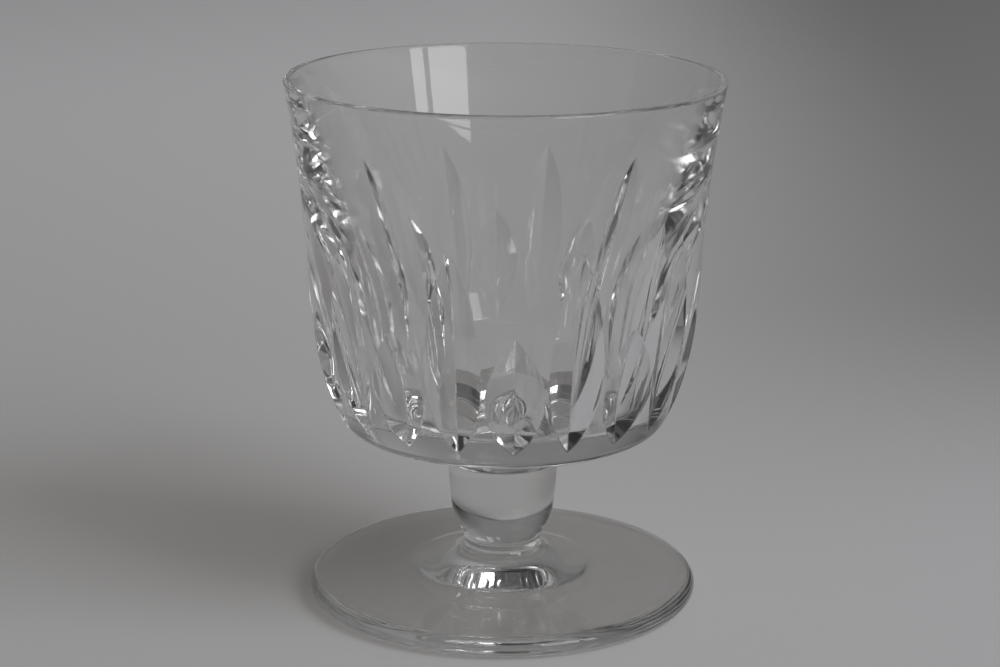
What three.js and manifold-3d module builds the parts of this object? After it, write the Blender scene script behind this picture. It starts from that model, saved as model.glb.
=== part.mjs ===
// Short-stemmed white wine glass in cut lead crystal.
// Three pieces of glass joined hot: a bowl with a belt of wheel-cut leaves, a solid stem and a round foot.
// Millimetres, +Z up. The origin is at the centre of the resting plane, and a short leaf faces -Y.

import * as THREE from "three";
import { mergeVertices } from "three/addons/utils/BufferGeometryUtils.js";
import Module from "manifold-3d";

// Foot: a disc with a rounded edge that rises in a hollow curve to the neck
const footRadius = 34.25;
const footEdgeThickness = 3.75;
const footHeight = 10.75;
const flareRadius = 16;
const flareHeight = 5.25;
const flareLean = -72;
const neckRadius = 7;

// Under the foot: a flat ground ring to stand on, inside the rounded edge, round a shallow hollow
const ringWidth = 4.75;
const hollowDepth = 1.25;
const hollowRadius = 15;

// Stem: a solid stub, drawn in below its shoulder to the neck, and spread at the top to a seat for the bowl
const stemHeight = 17.75;
const stemRadius = 9.65;
const neckLean = 34;
const shoulderHeight = 6;
const shoulderTaper = 0.5;
const shoulderLean = 6;
const seatRadius = 12.5;
const seatSpread = 4.25;
const seatLean = 66;

// Bowl outside, with heights measured up from its seat on the stem.
// The rim flares out past the belly, and the belly swells out past the round corner of the underside.
const bowlHeight = 63.75;
const rimRadius = 37.6;
const rimLean = 10;
const rimFlare = 3.4;
const bellyHeight = 34;
const bellyLean = 2.5;
const bellySwell = 5.2;
const cornerRadius = 4.25;
const cornerLean = 28;
const undersideRise = 2.25;

// Bowl inside: a plain cone between the wall's thickness at the rim and at the floor, and the flat floor
const rimWall = 1.2;
const floorWall = 9;
const floorHeight = 7.75;
const floorFillet = 1;

// Leaves: V-shaped grooves ground by one wheel, tall and short in turn, with their lower tips on one level.
// A bite is how far the wheel's straight run up from the tip lies inward of the leaf's top.
const leafPairs = 10;
const leafTip = 5.75;
const shortLeafTop = 26.75;
const shortLeafBite = 4.75;
const tallLeafTop = 40.5;
const tallLeafBite = 0.75;
const grooveAngle = 140;

// The grinding wheel, and how far its modelled path goes on past the glass
const wheelRadius = 52;
const wheelHalfWidth = 8;
const wheelDepth = 16;
const wheelRunOff = 8;
const wheelExitAngle = 5;

// Facets round each piece, where the bowl's are a whole number for each leaf, and along the curved outlines
const bowlFacetsPerLeaf = 6;
const footFacets = 84;
const stemFacets = 48;
const wallSteps = 8;
const curveSteps = 5;
const filletSteps = 4;
const wheelSteps = 11;

// How far the handles of a smooth curve reach, as a share of its length, and how close points are one point
const curvePull = 0.37;
const weldTolerance = 1e-5;

const crystal = { color: 0xe2e6e5, roughness: 0.03, metalness: 0, transparent: true, opacity: 0.35 };

const wasm = await Module();
wasm.setup();

const { degToRad, radToDeg, lerp } = THREE.MathUtils;

function toSolid(geometry) {
  const bare = geometry.clone();
  bare.deleteAttribute("normal");
  bare.deleteAttribute("uv");
  const merged = mergeVertices(bare, weldTolerance);
  const mesh = new wasm.Mesh({
    numProp: 3,
    vertProperties: new Float32Array(merged.attributes.position.array),
    triVerts: new Uint32Array(merged.index.array),
  });
  return new wasm.Manifold(mesh);
}

function toGeometry(solid) {
  const mesh = solid.getMesh();
  const geometry = new THREE.BufferGeometry();
  geometry.setAttribute("position", new THREE.BufferAttribute(mesh.vertProperties, 3));
  geometry.setIndex(new THREE.BufferAttribute(mesh.triVerts, 1));
  geometry.computeVertexNormals();
  return geometry;
}

// A solid of revolution about Z, from an outline of radius and height that starts and ends on the axis
function turned(outline, facets) {
  const geometry = new THREE.LatheGeometry(outline, facets);
  geometry.rotateX(Math.PI / 2);
  return toGeometry(toSolid(geometry));
}

function point(radius, height) {
  return new THREE.Vector2(radius, height);
}

// A direction in the outline's plane that leans outward from upright by an angle in degrees
function leaning(degrees) {
  return point(Math.sin(degToRad(degrees)), Math.cos(degToRad(degrees)));
}

// Points of a round stretch about a centre, from one angle in degrees to another, both ends included
function arc(centre, radius, from, to, steps) {
  const points = [];
  for (let i = 0; i <= steps; i += 1) {
    const angle = degToRad(lerp(from, to, i / steps));
    points.push(point(centre.x + radius * Math.cos(angle), centre.y + radius * Math.sin(angle)));
  }
  return points;
}

// Points of a smooth curve between two points, which leaves and arrives at the given leans from upright
function sweep(start, startLean, end, endLean, steps) {
  const pull = start.distanceTo(end) * curvePull;
  const curve = new THREE.CubicBezierCurve(
    start,
    start.clone().addScaledVector(leaning(startLean), pull),
    end.clone().addScaledVector(leaning(endLean), -pull),
    end,
  );
  return curve.getPoints(steps);
}

// The foot's outline: the hollow and the ring underneath, the rounded edge, and the flare to the neck
function footOutline() {
  const edgeRadius = footEdgeThickness / 2;
  const edgeCentre = point(footRadius - edgeRadius, edgeRadius);
  return [
    point(0, hollowDepth),
    point(hollowRadius, hollowDepth),
    point(edgeCentre.x - ringWidth, 0),
    ...arc(edgeCentre, edgeRadius, -90, 90, wallSteps),
    ...sweep(point(flareRadius, flareHeight), flareLean, point(neckRadius, footHeight), 0, curveSteps),
    point(0, footHeight),
  ];
}

// The stem's outline: from the neck out to the shoulder, up the side, and out again under the bowl
function stemOutline() {
  const neck = point(neckRadius, 0);
  const shoulder = point(stemRadius - shoulderTaper, shoulderHeight);
  const spread = point(stemRadius, stemHeight - seatSpread);
  const seat = point(seatRadius, stemHeight);
  return [
    point(0, 0),
    ...sweep(neck, neckLean, shoulder, shoulderLean, curveSteps),
    ...sweep(shoulder, shoulderLean, spread, 0, curveSteps).slice(1),
    ...sweep(spread, 0, seat, seatLean, curveSteps).slice(1),
    point(0, stemHeight),
  ];
}

// The bowl's outer wall: from where the underside meets the corner, round it, and past the belly to the rim
function bowlWall() {
  const belly = point(rimRadius - rimFlare, bellyHeight);
  const cornerCentre = point(belly.x - bellySwell - cornerRadius, undersideRise + cornerRadius);
  const toCentre = point(cornerCentre.x - seatRadius, cornerCentre.y);
  const undersideAngle = radToDeg(toCentre.angle() - Math.asin(cornerRadius / toCentre.length()));
  const corner = arc(cornerCentre, cornerRadius, undersideAngle - 90, -cornerLean, filletSteps);
  const rim = point(rimRadius, bowlHeight - rimWall / 2);
  return [
    ...corner,
    ...sweep(corner.at(-1), cornerLean, belly, bellyLean, wallSteps).slice(1),
    ...sweep(belly, bellyLean, rim, rimLean, curveSteps).slice(1),
  ];
}

// The radius of the outer wall at a height above the seat
function wallRadius(height) {
  const wall = bowlWall();
  const above = wall.findIndex((place) => place.y >= height);
  const low = wall[above - 1];
  const high = wall[above];
  return lerp(low.x, high.x, (height - low.y) / (high.y - low.y));
}

// The bowl's outline before cutting: seat, outer wall, fire-rounded rim, and the cavity's wall and floor
function bowlOutline() {
  const rimCentre = point(rimRadius - rimWall / 2, bowlHeight - rimWall / 2);
  const rim = arc(rimCentre, rimWall / 2, 0, 180, filletSteps);
  const floorCorner = point(wallRadius(floorHeight) - floorWall, floorHeight);
  const cavityLean = 90 - radToDeg(rim.at(-1).clone().sub(floorCorner).angle());
  const filletReach = floorFillet / Math.tan(degToRad(90 + cavityLean) / 2);
  const filletCentre = point(floorCorner.x - filletReach, floorHeight + floorFillet);
  return [
    point(0, 0),
    point(seatRadius, 0),
    ...bowlWall(),
    ...rim.slice(1),
    ...arc(filletCentre, floorFillet, -cavityLean, -90, filletSteps),
    point(0, floorHeight),
  ];
}

// The space that the wheel passes through as it grinds one leaf that faces +X. The wheel cuts in at the tip,
// runs up in a straight line and rides out at the top. Its edge is a ridge, which leaves a V-shaped groove.
function leafCutter(topHeight, bite) {
  const tip = point(wallRadius(leafTip), leafTip);
  const reach = point(wallRadius(topHeight), topHeight).sub(tip);
  const runLean = 90 - radToDeg(reach.angle() + Math.asin(bite / reach.length()));
  const along = leaning(runLean);
  const outward = leaning(runLean + 90);
  const rideOut = Math.sqrt(bite * (2 * wheelRadius - bite));
  const atTip = tip.clone().addScaledVector(outward, wheelRadius);
  const upper = atTip.clone().addScaledVector(along, reach.dot(along) - rideOut);
  const lower = atTip.clone().addScaledVector(along, -wheelRunOff);
  const back = outward.clone().multiplyScalar(wheelDepth - wheelRadius);

  // The outline of the wheel's path at one distance aside of its ridge, where the wheel's radius is smaller
  const facing = 180 - runLean;
  const exit = facing - radToDeg(Math.asin(rideOut / wheelRadius)) - wheelExitAngle;
  const section = (radius) => [
    lower.clone().addScaledVector(outward, -radius),
    ...arc(upper, radius, facing, exit, wheelSteps),
    upper.clone().add(back).addScaledVector(along, wheelRunOff),
    lower.clone().add(back).addScaledVector(along, -wheelRunOff),
  ];
  const flankRadius = wheelRadius - wheelHalfWidth / Math.tan(degToRad(grooveAngle / 2));
  const sections = [section(flankRadius), section(wheelRadius), section(flankRadius)];
  const positions = sections.flatMap((points, i) =>
    points.flatMap((place) => [place.x, (i - 1) * wheelHalfWidth, place.y]),
  );

  // Bands between neighbouring outlines, and a fan to close each side
  const count = sections[0].length;
  const index = [];
  for (let i = 0; i < count * 2; i += 1) {
    const next = i % count === count - 1 ? i + 1 - count : i + 1;
    index.push(i, next, i + count, next, next + count, i + count);
  }
  for (let i = 1; i < count - 1; i += 1) {
    index.push(0, i + 1, i);
    index.push(count * 2, count * 2 + i, count * 2 + i + 1);
  }
  const geometry = new THREE.BufferGeometry();
  geometry.setAttribute("position", new THREE.Float32BufferAttribute(positions, 3));
  geometry.setIndex(index);
  return geometry;
}

// The bowl, turned in the round and then ground with the two leaves in turn
function bowlGeometry() {
  const leaves = leafPairs * 2;
  let solid = toSolid(turned(bowlOutline(), leaves * bowlFacetsPerLeaf));
  const cutters = [leafCutter(shortLeafTop, shortLeafBite), leafCutter(tallLeafTop, tallLeafBite)];
  for (let i = 0; i < leaves; i += 1) {
    const cutter = cutters[i % 2].clone();
    cutter.rotateZ(-Math.PI / 2 + (2 * Math.PI * i) / leaves);
    solid = solid.subtract(toSolid(cutter));
  }
  return toGeometry(solid);
}

// One piece of clear glass, standing at a height
function piece(name, geometry, height) {
  const mesh = new THREE.Mesh(geometry, new THREE.MeshStandardMaterial(crystal));
  mesh.name = name;
  mesh.position.z = height;
  return mesh;
}

const glass = new THREE.Group();
glass.add(piece("foot", turned(footOutline(), footFacets), 0));
glass.add(piece("stem", turned(stemOutline(), stemFacets), footHeight));
glass.add(piece("bowl", bowlGeometry(), footHeight + stemHeight));

export default glass;
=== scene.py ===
# %% [markdown]
# # A white wine glass in cut crystal
# Three pieces of clear glass: a bowl with a belt of wheel-cut leaves, a short solid stem and a round
# foot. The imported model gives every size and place. Here each piece is remade with the smooth curves
# and true wheel cuts of the real glass, because clear glass shows every facet of a coarse mesh as a
# bent line.

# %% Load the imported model
import math

import bpy
from mathutils import Matrix, Vector


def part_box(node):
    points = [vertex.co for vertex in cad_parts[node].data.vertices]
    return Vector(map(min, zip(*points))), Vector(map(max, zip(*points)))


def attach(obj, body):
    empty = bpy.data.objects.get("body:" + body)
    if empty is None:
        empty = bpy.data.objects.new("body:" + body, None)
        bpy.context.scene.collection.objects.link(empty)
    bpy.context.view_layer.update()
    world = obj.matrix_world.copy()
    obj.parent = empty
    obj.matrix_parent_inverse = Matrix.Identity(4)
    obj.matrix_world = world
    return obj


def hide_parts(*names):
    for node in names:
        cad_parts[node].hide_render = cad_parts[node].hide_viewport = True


MM = 0.001

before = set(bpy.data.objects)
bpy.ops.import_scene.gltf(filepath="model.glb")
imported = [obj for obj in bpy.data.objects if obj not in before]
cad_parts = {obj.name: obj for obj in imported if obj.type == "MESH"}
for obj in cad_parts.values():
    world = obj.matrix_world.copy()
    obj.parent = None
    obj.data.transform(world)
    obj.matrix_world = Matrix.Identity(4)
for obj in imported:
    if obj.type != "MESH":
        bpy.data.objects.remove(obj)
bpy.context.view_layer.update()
seat_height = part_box("bowl")[0].z / MM
neck_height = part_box("stem")[0].z / MM
print("nodes", sorted(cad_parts), "seat at", round(seat_height, 2), "neck at", round(neck_height, 2))

# %% [markdown]
# ## The camera
# A long lens, close to the glass and a little above it, looks down at the rim, the leaves and the foot.
# Its place was worked out from the ellipses of the rim and the foot. The camera stands a few degrees to
# the left of the front, so that the short leaf in the middle sits just right of the centre.

# %% Camera
# The image and the lens are in pixels, and every length is in millimetres.
IMAGE_WIDTH = 1000
FOCAL_PIXELS = 2440
SENSOR_WIDTH = 36
NEAREST_SEEN = 10
VIEW_TURN = math.radians(-3.4)
CAMERA_DISTANCE = 409.5
CAMERA_HEIGHT = 160.7
CAMERA_PITCH = math.radians(15.52)
CAMERA_YAW = math.radians(0.09)
CAMERA_ROLL = math.radians(0.36)


def around(azimuth, distance, height):
    """A place at an azimuth in degrees, measured to the right from the camera's side of the glass."""
    angle = math.radians(azimuth) + VIEW_TURN
    return Vector((math.sin(angle) * distance, -math.cos(angle) * distance, height)) * MM


turn = (
    Matrix.Rotation(VIEW_TURN + CAMERA_YAW, 4, "Z")
    @ Matrix.Rotation(math.pi / 2 - CAMERA_PITCH, 4, "X")
    @ Matrix.Rotation(CAMERA_ROLL, 4, "Z")
)
bpy.ops.object.camera_add(location=around(0, CAMERA_DISTANCE, CAMERA_HEIGHT), rotation=turn.to_euler())
camera = bpy.context.object
camera.data.sensor_width = SENSOR_WIDTH
camera.data.lens = FOCAL_PIXELS * SENSOR_WIDTH / IMAGE_WIDTH
camera.data.clip_start = NEAREST_SEEN * MM
bpy.context.scene.camera = camera
print("lens", round(camera.data.lens, 2), "mm")

# %% [markdown]
# ## Turning a shape from its outline
# A glass is blown and tooled while it spins, so each piece is a solid of revolution. The outline is
# drawn with the Bezier curve tool, from the axis out and back to the axis, and spun about the glass's
# axis. An outline keeps the long curves of hot glass exact, where a stack of scaled cylinders would
# show steps.

# %% Outlines and spinning
FACETS = 400
WELD_DISTANCE = 0.001


def heading(degrees):
    """A direction in the outline's plane: 0 is up, 90 is outward, 180 is down and -90 is inward."""
    angle = math.radians(degrees)
    return Vector((math.sin(angle), 0, math.cos(angle)))


def draw_outline(name, base, anchors, fineness):
    """Draws a piece's outline through its anchors, from the height of its base.

    An anchor is a radius, a height, the heading on arrival and the heading on leaving. A heading of None
    makes that side straight.
    """
    bpy.ops.object.select_all(action="DESELECT")
    bpy.ops.curve.primitive_bezier_curve_add(location=(0, 0, 0))
    outline = bpy.context.object
    outline.name = name
    outline.data.name = name
    outline.data.resolution_u = fineness
    points = outline.data.splines[0].bezier_points
    points.add(len(anchors) - len(points))
    for point, (radius, height, arrive, leave) in zip(points, anchors):
        point.co = Vector((radius, 0, base + height)) * MM
        point.handle_left_type = "VECTOR" if arrive is None else "FREE"
        point.handle_right_type = "VECTOR" if leave is None else "FREE"
    for i in range(len(anchors) - 1):
        start = points[i]
        end = points[i + 1]
        leave = anchors[i][3]
        arrive = anchors[i + 1][2]
        if leave is not None:
            # Handles of this length bring the curve within a hair of a circular arc.
            span = (end.co - start.co).length
            reach = span / (3 * math.cos(math.radians(arrive - leave) / 4) ** 2)
            start.handle_right = start.co + heading(leave) * reach
            end.handle_left = end.co - heading(arrive) * reach
    bpy.ops.object.convert(target="MESH")
    return outline


def spin_outline(shape):
    """Spins the outline once round, joins the seam and the poles, and turns the faces outward."""
    bpy.ops.object.mode_set(mode="EDIT")
    bpy.ops.mesh.select_all(action="SELECT")
    bpy.ops.mesh.spin(steps=FACETS, angle=math.tau, center=(0, 0, 0), axis=(0, 0, 1))
    bpy.ops.mesh.select_all(action="SELECT")
    bpy.ops.mesh.remove_doubles(threshold=WELD_DISTANCE * MM)
    bpy.ops.mesh.normals_make_consistent(inside=False)
    bpy.ops.object.mode_set(mode="OBJECT")
    print(shape.name, len(shape.data.polygons), "faces")


# %% [markdown]
# ## Materials
# One small function adds a node with its settings and links. Colours are written as sRGB hex values, as
# a colour picker gives them, and one function turns them into the linear values that the shaders work
# in.

# %% Material helpers
def linear(code):
    """The linear colour of an sRGB hex value."""
    values = [int(code[i : i + 2], 16) / 255 for i in (0, 2, 4)]
    return [v / 12.92 if v <= 0.04045 else ((v + 0.055) / 1.055) ** 2.4 for v in values] + [1]


def add_node(tree, kind, inputs=None, **settings):
    """Adds a node.

    Each input is a link or a value. A setting is a property, or a socket with _ for each space in its name.
    """
    node = tree.nodes.new(kind)
    for name, value in settings.items():
        if hasattr(node, name):
            setattr(node, name, value)
        else:
            node.inputs[name.replace("_", " ")].default_value = value
    for socket, source in (inputs or {}).items():
        if isinstance(source, bpy.types.NodeSocket):
            tree.links.new(source, node.inputs[socket])
        else:
            node.inputs[socket].default_value = source
    return node


def new_material(name):
    """An empty node material and its output node."""
    material = bpy.data.materials.new(name)
    material.use_nodes = True
    material.node_tree.nodes.clear()
    return material, add_node(material.node_tree, "ShaderNodeOutputMaterial")


# %% [markdown]
# ## Lead crystal
# Lead crystal bends light a little more than window glass does, with an index of refraction of 1.545.
# This glass shows three surfaces. The bowl was blown and fire polished, which leaves a long faint
# ripple. The stem and the foot were shaped with tools while they turned, which leaves fine rings. The
# leaves were ground with a wheel and polished in acid, which leaves them flat with soft edges. One
# function makes all three.
#
# A Bevel node rounds the edges in the shading, so that they catch the light as thin lines. A bevelled
# mesh could do the same, but the cuts end in slivers that a bevel tears. Lamps are hard to find through
# clear glass, so shadow rays meet a plain pale shader instead, which gives the soft shadow on the
# paper.

# %% Crystal
LEAD_CRYSTAL_IOR = 1.545
POLISHED_EDGE = 0.4
EDGE_SAMPLES = 6
SHADOW_TONE = "E6E5E4"


def crystal(name, tone, ripple_size, ripple_depth, mark_size, mark_depth):
    """Lead crystal with a ripple all over and tool marks round the axis. Sizes and depths are in mm."""
    material, output = new_material(name)
    tree = material.node_tree
    place = add_node(tree, "ShaderNodeTexCoord").outputs["Object"]
    ripple = add_node(tree, "ShaderNodeTexNoise", {"Vector": place}, Scale=1 / (ripple_size * MM))
    rippled = add_node(
        tree,
        "ShaderNodeMath",
        {0: ripple.outputs["Fac"], 1: ripple_depth},
        operation="MULTIPLY",
    )
    parts = add_node(tree, "ShaderNodeSeparateXYZ", {"Vector": place})
    across = add_node(tree, "ShaderNodeCombineXYZ", {"X": parts.outputs["X"], "Y": parts.outputs["Y"]})
    radius = add_node(tree, "ShaderNodeVectorMath", {0: across.outputs[0]}, operation="LENGTH")
    profile = add_node(
        tree,
        "ShaderNodeCombineXYZ",
        {"X": radius.outputs["Value"], "Z": parts.outputs["Z"]},
    )
    marks = add_node(tree, "ShaderNodeTexNoise", {"Vector": profile.outputs[0]}, Scale=1 / (mark_size * MM))
    surface = add_node(
        tree,
        "ShaderNodeMath",
        {0: marks.outputs["Fac"], 1: mark_depth, 2: rippled.outputs[0]},
        operation="MULTIPLY_ADD",
    )
    edge = add_node(tree, "ShaderNodeBevel", samples=EDGE_SAMPLES, Radius=POLISHED_EDGE * MM)
    bump = add_node(
        tree,
        "ShaderNodeBump",
        {"Height": surface.outputs[0], "Normal": edge.outputs["Normal"]},
        Strength=1,
        Distance=MM,
    )
    glass = add_node(
        tree,
        "ShaderNodeBsdfPrincipled",
        {"Normal": bump.outputs["Normal"]},
        Base_Color=linear(tone),
        Roughness=0,
        IOR=LEAD_CRYSTAL_IOR,
        Transmission_Weight=1,
    )
    clear = add_node(tree, "ShaderNodeBsdfTransparent", Color=linear(SHADOW_TONE))
    path = add_node(tree, "ShaderNodeLightPath")
    lets_lamps_through = add_node(
        tree,
        "ShaderNodeMixShader",
        {0: path.outputs["Is Shadow Ray"], 1: glass.outputs[0], 2: clear.outputs[0]},
    )
    tree.links.new(lets_lamps_through.outputs[0], output.inputs["Surface"])
    return material


# %% The three surfaces and the hot joint
# Each surface takes a little light away. The stem and the foot have a darker tone than the thin wall,
# which is painted shade for the shadow on the paper that is seen through the foot.
THIN_TONE = "FCFCFC"
THICK_TONE_WITH_PAINTED_SHADE = "F4F4F3"
# Blown and fire polished: the long ripple bends what is seen through the wall a little.
blown = crystal(
    "Lead crystal, blown and fire polished",
    THIN_TONE,
    ripple_size=12,
    ripple_depth=0.012,
    mark_size=4,
    mark_depth=0.002,
)
# Shaped with tools while turning: fine rings break up the bright reflections at the neck and on the foot.
tooled = crystal(
    "Lead crystal, tooled by hand",
    # The darker tone paints shade into the stem and the foot.
    THICK_TONE_WITH_PAINTED_SHADE,
    ripple_size=9,
    ripple_depth=0.03,
    mark_size=2.5,
    mark_depth=0.012,
)
# Wheel cut and acid polished: nearly flat, so each side of a leaf shows one clean tone.
wheel_cut = crystal(
    "Lead crystal, wheel cut and acid polished",
    THIN_TONE,
    ripple_size=3,
    ripple_depth=0.003,
    mark_size=4,
    mark_depth=0,
)
# Two pieces were fused here, so there is no surface and light goes straight on.
joint, joint_output = new_material("Hot joint inside the glass")
through = add_node(joint.node_tree, "ShaderNodeBsdfTransparent", Color=linear("FFFFFF"))
joint.node_tree.links.new(through.outputs[0], joint_output.inputs["Surface"])
print("materials", blown.name, tooled.name, wheel_cut.name, joint.name)

# %% Finishing a piece
JOINT_TOLERANCE = 0.01
NEARLY_LEVEL = 0.99
SMOOTH_BELOW = math.radians(9)
LARGEST_FACES_ONLY = 100


def finish(piece, node, joint_heights):
    """Gives a piece smooth shading, marks its hot joints, and lets it stand for its node."""
    piece.data.materials.append(joint)
    for face in piece.data.polygons:
        at_joint = any(abs(face.center.z / MM - height) < JOINT_TOLERANCE for height in joint_heights)
        if at_joint and abs(face.normal.z) > NEARLY_LEVEL:
            face.material_index = len(piece.data.materials) - 1
    bpy.ops.object.select_all(action="DESELECT")
    piece.select_set(True)
    bpy.context.view_layer.objects.active = piece
    bpy.ops.object.shade_smooth_by_angle(angle=SMOOTH_BELOW)
    straight = piece.modifiers.new("straight walls stay straight", "WEIGHTED_NORMAL")
    straight.mode = "FACE_AREA"
    straight.weight = LARGEST_FACES_ONLY
    straight.keep_sharp = True
    bpy.ops.object.modifier_apply(modifier=straight.name)
    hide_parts(node)
    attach(piece, "root")
    triangles = sum(len(face.vertices) - 2 for face in piece.data.polygons)
    print(piece.name, "stands for", node, "with", triangles, "triangles")


# %% [markdown]
# ## The foot
# The foot is a thick disc with a rounded edge. Its top is a low cone that rises in one hollow curve to
# the neck. Underneath, a flat ring is ground so that the glass stands steady, round a shallow hollow. A
# disc with its edge bevelled would miss the hollow curve, whose bright rings are what the eye sees
# first.

# %% Foot
foot_anchors = [
    (0, 1.25, None, None),
    (15, 1.25, None, None),
    (27.625, 0, None, None),
    (32.375, 0, None, 90),
    (34.25, 1.875, 0, 0),
    (32.375, 3.75, -90, None),
    (17.2, 5.14, None, -84.8),
    (15.2, 5.55, -72, -72),
    (6.77, 9.9, 0, 0),
    (7, 10.75, 30, None),
    (0, 10.75, None, None),
]
foot = draw_outline("crystal_foot", 0, foot_anchors, fineness=16)
spin_outline(foot)
foot.data.materials.append(tooled)
finish(foot, "foot", [neck_height])

# %% [markdown]
# ## The stem
# The stem is a short solid stub. It is drawn in at the neck, where it meets the foot. At the top a fine
# crease marks where it spreads into the underside of the bowl, and shows as a thin dark line.

# %% Stem
stem_anchors = [
    (0, 0, None, None),
    (7, 0, None, 30),
    (9.15, 6, 6, 6),
    (9.65, 13.6, 0, 42),
    (12.5, 17.75, 70, None),
    (0, 17.75, None, None),
]
stem = draw_outline("crystal_stem", neck_height, stem_anchors, fineness=16)
spin_outline(stem)
stem.data.materials.append(tooled)
finish(stem, "stem", [neck_height, seat_height])

# %% [markdown]
# ## The bowl before cutting
# The wall is thick in the corner above the stem, where the leaves are cut, and thins towards the rim,
# which is melted round. The cavity is a plain cone with a flat floor and a rounded corner. A wall of
# even thickness would be simpler, but the leaves at the back would then appear in the wrong places
# through the front.

# %% Bowl blank
bowl_anchors = [
    (0, 0, None, None),
    (12.5, 0, None, None),
    (25.5, 2.31, None, 79.8),
    (28.5, 4.5, 28, 28),
    (34.2, 34, 2.5, 2.5),
    (37.6, 63.15, 10, 0),
    (37, 63.75, -90, -90),
    (36.4, 63.15, -180, None),
    (21.25, 8.48, None, -164.5),
    (20.28, 7.75, -90, None),
    (0, 7.75, None, None),
]
bowl = draw_outline("crystal_bowl", seat_height, bowl_anchors, fineness=20)
outline_points = [vertex.co / MM for vertex in bowl.data.vertices]
spin_outline(bowl)
bowl.data.materials.append(blown)
bowl.data.materials.append(wheel_cut)

# %% [markdown]
# ## The leaves
# Each leaf is one pass of a grinding wheel whose edge is a blunt V. The wheel cuts in at the lower tip,
# runs up in a straight line and rides out at the top, which gives the pointed leaf with a ridge down
# its middle. The wheel is modelled as it is: a disc of two cones, stretched along its run, and
# subtracted from the blank.

# %% Grinding wheel
LEAF_PAIRS = 10
LEAF_TIP = 5.75
GROOVE_ANGLE = math.radians(140)
WHEEL_RADIUS = 52
WHEEL_HALF_WIDTH = 8
WHEEL_RUN_OFF = 8
WHEEL_FACETS = 720
BELOW_AXLE = -0.01


def wall_place(height):
    """The place on the outer wall at a height above the seat, as outward and up."""
    level = seat_height + height
    radii = []
    for low, high in zip(outline_points, outline_points[1:]):
        if low.z <= level < high.z:
            radii.append(low.x + (high.x - low.x) * (level - low.z) / (high.z - low.z))
    return Vector((max(radii), level))


def leaf_cutters(name, top, bite, first_turn):
    """One ring of wheels, each stretched along its run from the leaf's tip to its top."""
    tip = wall_place(LEAF_TIP)
    reach = wall_place(top) - tip
    lean = math.pi / 2 - math.atan2(reach.y, reach.x) - math.asin(bite / reach.length)
    along = Vector((math.sin(lean), math.cos(lean)))
    outward = Vector((math.cos(lean), -math.sin(lean)))
    run = reach.dot(along) - math.sqrt(bite * (2 * WHEEL_RADIUS - bite))
    centre = tip + outward * WHEEL_RADIUS + along * run
    flank = WHEEL_RADIUS - WHEEL_HALF_WIDTH / math.tan(GROOVE_ANGLE / 2)

    bpy.ops.object.select_all(action="DESELECT")
    bpy.ops.mesh.primitive_circle_add(
        vertices=WHEEL_FACETS,
        radius=flank * MM,
        fill_type="NGON",
        location=(0, -WHEEL_HALF_WIDTH * MM, 0),
        rotation=(math.pi / 2, 0, 0),
    )
    wheel = bpy.context.object
    wheel.name = name
    bpy.ops.object.transform_apply(location=True, rotation=True, scale=True)
    bpy.ops.object.mode_set(mode="EDIT")
    bpy.ops.mesh.select_all(action="SELECT")
    step = {"value": (0, WHEEL_HALF_WIDTH * MM, 0), "orient_type": "GLOBAL"}
    for growth, side in ((WHEEL_RADIUS / flank, 0), (flank / WHEEL_RADIUS, WHEEL_HALF_WIDTH * MM)):
        bpy.ops.mesh.extrude_region_move(TRANSFORM_OT_translate=step)
        bpy.ops.transform.resize(value=(growth,) * 3, center_override=(0, side, 0))
    bpy.ops.mesh.select_all(action="SELECT")
    bpy.ops.mesh.normals_make_consistent(inside=False)
    bpy.ops.mesh.select_all(action="DESELECT")
    bpy.ops.object.mode_set(mode="OBJECT")
    for vertex in wheel.data.vertices:
        vertex.select = vertex.co.z < BELOW_AXLE * MM
    bpy.ops.object.mode_set(mode="EDIT")
    bpy.ops.transform.translate(value=(0, 0, -(run + WHEEL_RUN_OFF) * MM))
    bpy.ops.object.mode_set(mode="OBJECT")
    wheel.rotation_euler = (0, lean, 0)
    wheel.location = (centre.x * MM, 0, centre.y * MM)
    bpy.ops.object.transform_apply(location=True, rotation=True, scale=True)
    wheel.data.materials.append(wheel_cut)

    for i in range(LEAF_PAIRS):
        copy = wheel.copy()
        copy.data = wheel.data.copy()
        copy.rotation_euler.z = first_turn + math.tau * i / LEAF_PAIRS
        bpy.context.collection.objects.link(copy)
        copy.select_set(True)
    wheel.select_set(False)
    bpy.context.view_layer.objects.active = bpy.context.selected_objects[0]
    bpy.data.objects.remove(wheel)
    bpy.ops.object.join()
    ring = bpy.context.object
    bpy.ops.object.transform_apply(location=True, rotation=True, scale=True)
    print(name, "lean", round(math.degrees(lean), 2), "run", round(run, 1), "mm")
    return ring


# %% Cut the leaves
front = -math.pi / 2
cutters = [
    leaf_cutters("wheels_for_short_leaves", top=26.75, bite=4.75, first_turn=front),
    leaf_cutters("wheels_for_tall_leaves", top=40.5, bite=0.75, first_turn=front + math.pi / LEAF_PAIRS),
]
for cutter in cutters:
    bpy.ops.object.select_all(action="DESELECT")
    bowl.select_set(True)
    bpy.context.view_layer.objects.active = bowl
    cut = bowl.modifiers.new("cut", "BOOLEAN")
    cut.operation = "DIFFERENCE"
    cut.solver = "EXACT"
    cut.material_mode = "TRANSFER"
    cut.object = cutter
    bpy.ops.object.modifier_apply(modifier=cut.name)
    bpy.data.objects.remove(cutter)
print("bowl", len(bowl.data.polygons), "faces after cutting", [m.name for m in bowl.data.materials])
finish(bowl, "bowl", [seat_height])

# %% [markdown]
# ## Floor
# The glass stands on matt grey paper. Its colour is painted darker towards the back on the right and
# towards the front on the left, as painted shade for the way light falls off on a table that is lit from
# one side. Clear glass shows its surroundings more than itself, so the paper's tone is part of how the
# glass looks.

# %% Floor
# Painted shade: the paper is darker near the front on the left and far back on the right, where less light
# falls.
NEAR_LEFT = linear("A2A1A1")
NEAR_RIGHT = linear("A09FA2")
BACK_LEFT = linear("BABABC")
BACK_RIGHT = linear("7B7A7A")
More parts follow.
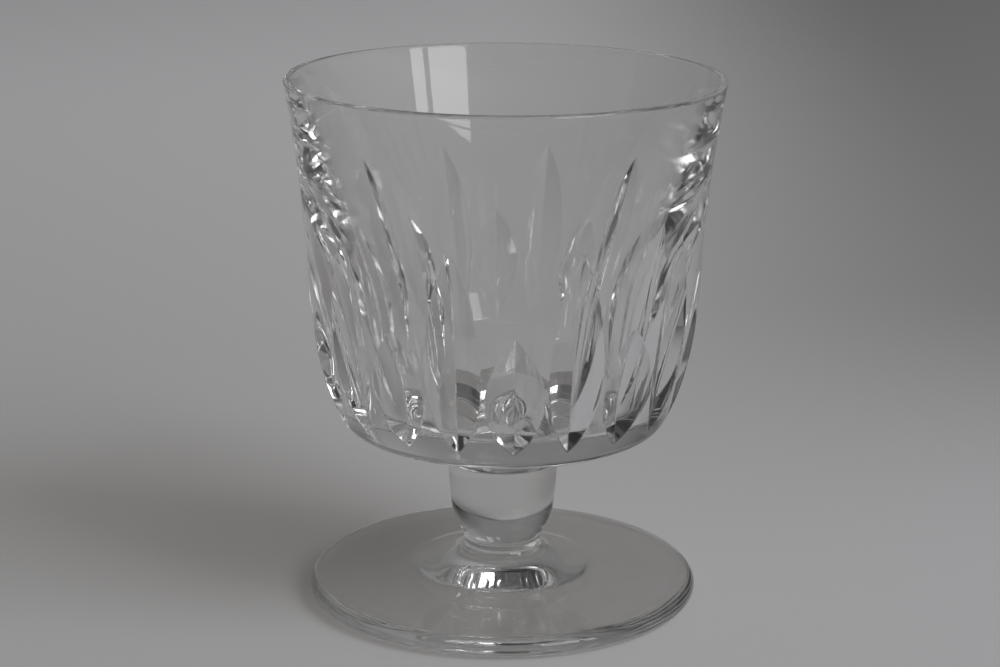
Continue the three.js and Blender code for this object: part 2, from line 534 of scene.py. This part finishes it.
# Metres behind the glass at which each side has its back tone, and metres to the right for the right side.
LEFT_FADES_BY = 0.6
RIGHT_FADES_BY = 0.22
RIGHT_STARTS = -0.05
RIGHT_FULL = 0.16
SLANT = 0.1
FLOOR_RADIUS = 6
FLOOR_SIDES = 128
FLOOR_DROP = 0.05

sweep, sweep_output = new_material("Matt grey paper with painted shade")
tree = sweep.node_tree
place = add_node(tree, "ShaderNodeTexCoord").outputs["Object"]
across = add_node(tree, "ShaderNodeSeparateXYZ", {"Vector": place})
slanted = add_node(
    tree,
    "ShaderNodeMath",
    {0: across.outputs["Y"], 1: -SLANT, 2: across.outputs["X"]},
    operation="MULTIPLY_ADD",
)
fades = [
    add_node(
        tree,
        "ShaderNodeMapRange",
        {"Value": value},
        interpolation_type="SMOOTHSTEP",
        From_Min=start,
        From_Max=end,
    ).outputs[0]
    for value, start, end in [
        (across.outputs["Y"], 0, LEFT_FADES_BY),
        (across.outputs["Y"], 0, RIGHT_FADES_BY),
        (slanted.outputs[0], RIGHT_STARTS, RIGHT_FULL),
    ]
]
left_to_back, right_to_back, to_right = fades
sides = [
    add_node(tree, "ShaderNodeMix", {0: fade, 6: near, 7: back}, data_type="RGBA").outputs[2]
    for fade, near, back in [(left_to_back, NEAR_LEFT, BACK_LEFT), (right_to_back, NEAR_RIGHT, BACK_RIGHT)]
]
# This mix paints the shade into the paper's colour.
tone = add_node(tree, "ShaderNodeMix", {0: to_right, 6: sides[0], 7: sides[1]}, data_type="RGBA")
paper = add_node(tree, "ShaderNodeBsdfPrincipled", {"Base Color": tone.outputs[2]}, Roughness=0.9)
tree.links.new(paper.outputs[0], sweep_output.inputs["Surface"])
bpy.ops.object.select_all(action="DESELECT")
bpy.ops.mesh.primitive_circle_add(
    vertices=FLOOR_SIDES,
    radius=FLOOR_RADIUS,
    fill_type="NGON",
    location=(0, 0, 0),
)
floor = bpy.context.object
floor.name = "floor"
floor.data.transform(Matrix.Translation((0, 0, -FLOOR_DROP * MM)))
floor.data.materials.append(sweep)

# %% [markdown]
# ## Light
# Cut glass needs light and dark round it, or it fades into the background. The room is dark overhead
# and on the left, with pale walls in front on the right, high on the right and low behind. Two windows
# in front on the right give the crisp reflections inside the rim.
#
# A large soft box lights the paper and gives the soft shadow on the left. It is hidden from reflections
# and from what is seen through the glass, because a bright patch overhead would wash out the dark line
# of the rim.

# %% Room
world = bpy.data.worlds.new("Soft studio")
bpy.context.scene.world = world
world.use_nodes = True
tree = world.node_tree
direction = add_node(tree, "ShaderNodeTexCoord").outputs["Generated"]
DARKEST = 0.01
# Azimuth and elevation in degrees, the cosines at the wall's edge and middle, and its brightness.
pale_walls = [
    ("front right", 55, 22, 0.6, 0.97, 0.2),
    ("high on the right", 120, 52, 0.6, 0.97, 0.26),
    ("low behind", 185, 6, 0.5, 0.98, 0.17),
    ("low in front on the left", 330, 6, 0.7, 0.98, 0.05),
]
room = DARKEST
for name, azimuth, elevation, edge, middle, brightness in pale_walls:
    towards = around(azimuth, 1, math.tan(math.radians(elevation))).normalized()
    nearness = add_node(tree, "ShaderNodeVectorMath", {0: direction, 1: towards}, operation="DOT_PRODUCT")
    wall = add_node(
        tree,
        "ShaderNodeMapRange",
        {"Value": nearness.outputs["Value"]},
        interpolation_type="SMOOTHSTEP",
        From_Min=edge,
        From_Max=middle,
        To_Max=brightness,
    )
    room = add_node(tree, "ShaderNodeMath", {0: wall.outputs[0], 1: room}, operation="ADD").outputs[0]
    print("pale wall", name)
tree.links.new(room, tree.nodes["Background"].inputs["Color"])

# %% Windows and soft box
AIM = Vector((0, 0, 50)) * MM
# Azimuth in degrees, distance and height in millimetres, both sides in metres, watts per square metre.
lamps = [
    ("window_wide", 34.5, 1500, 700, 0.61, 0.63, 12),
    ("window_narrow", 53, 1500, 700, 0.21, 0.63, 12),
    ("soft_box", 62, 2000, 1700, 1.4, 1.4, 38),
]
for name, azimuth, distance, height, width, tall, watts_per_square_metre in lamps:
    bpy.ops.object.light_add(type="AREA", location=around(azimuth, distance, height))
    lamp = bpy.context.object
    lamp.name = name
    lamp.data.shape = "RECTANGLE"
    lamp.data.size = width
    lamp.data.size_y = tall
    lamp.data.energy = watts_per_square_metre * width * tall
    lamp.rotation_euler = (AIM - lamp.location).to_track_quat("-Z", "Y").to_euler()
    print(name, round(lamp.data.energy, 2), "W")
lamp.visible_glossy = False
lamp.visible_transmission = False

BOUNCES = 32
GLOSSY_BOUNCES = 16

scene = bpy.context.scene
scene.view_settings.view_transform = "Standard"
scene.cycles.max_bounces = BOUNCES
scene.cycles.transmission_bounces = BOUNCES
scene.cycles.glossy_bounces = GLOSSY_BOUNCES
scene.cycles.transparent_max_bounces = BOUNCES
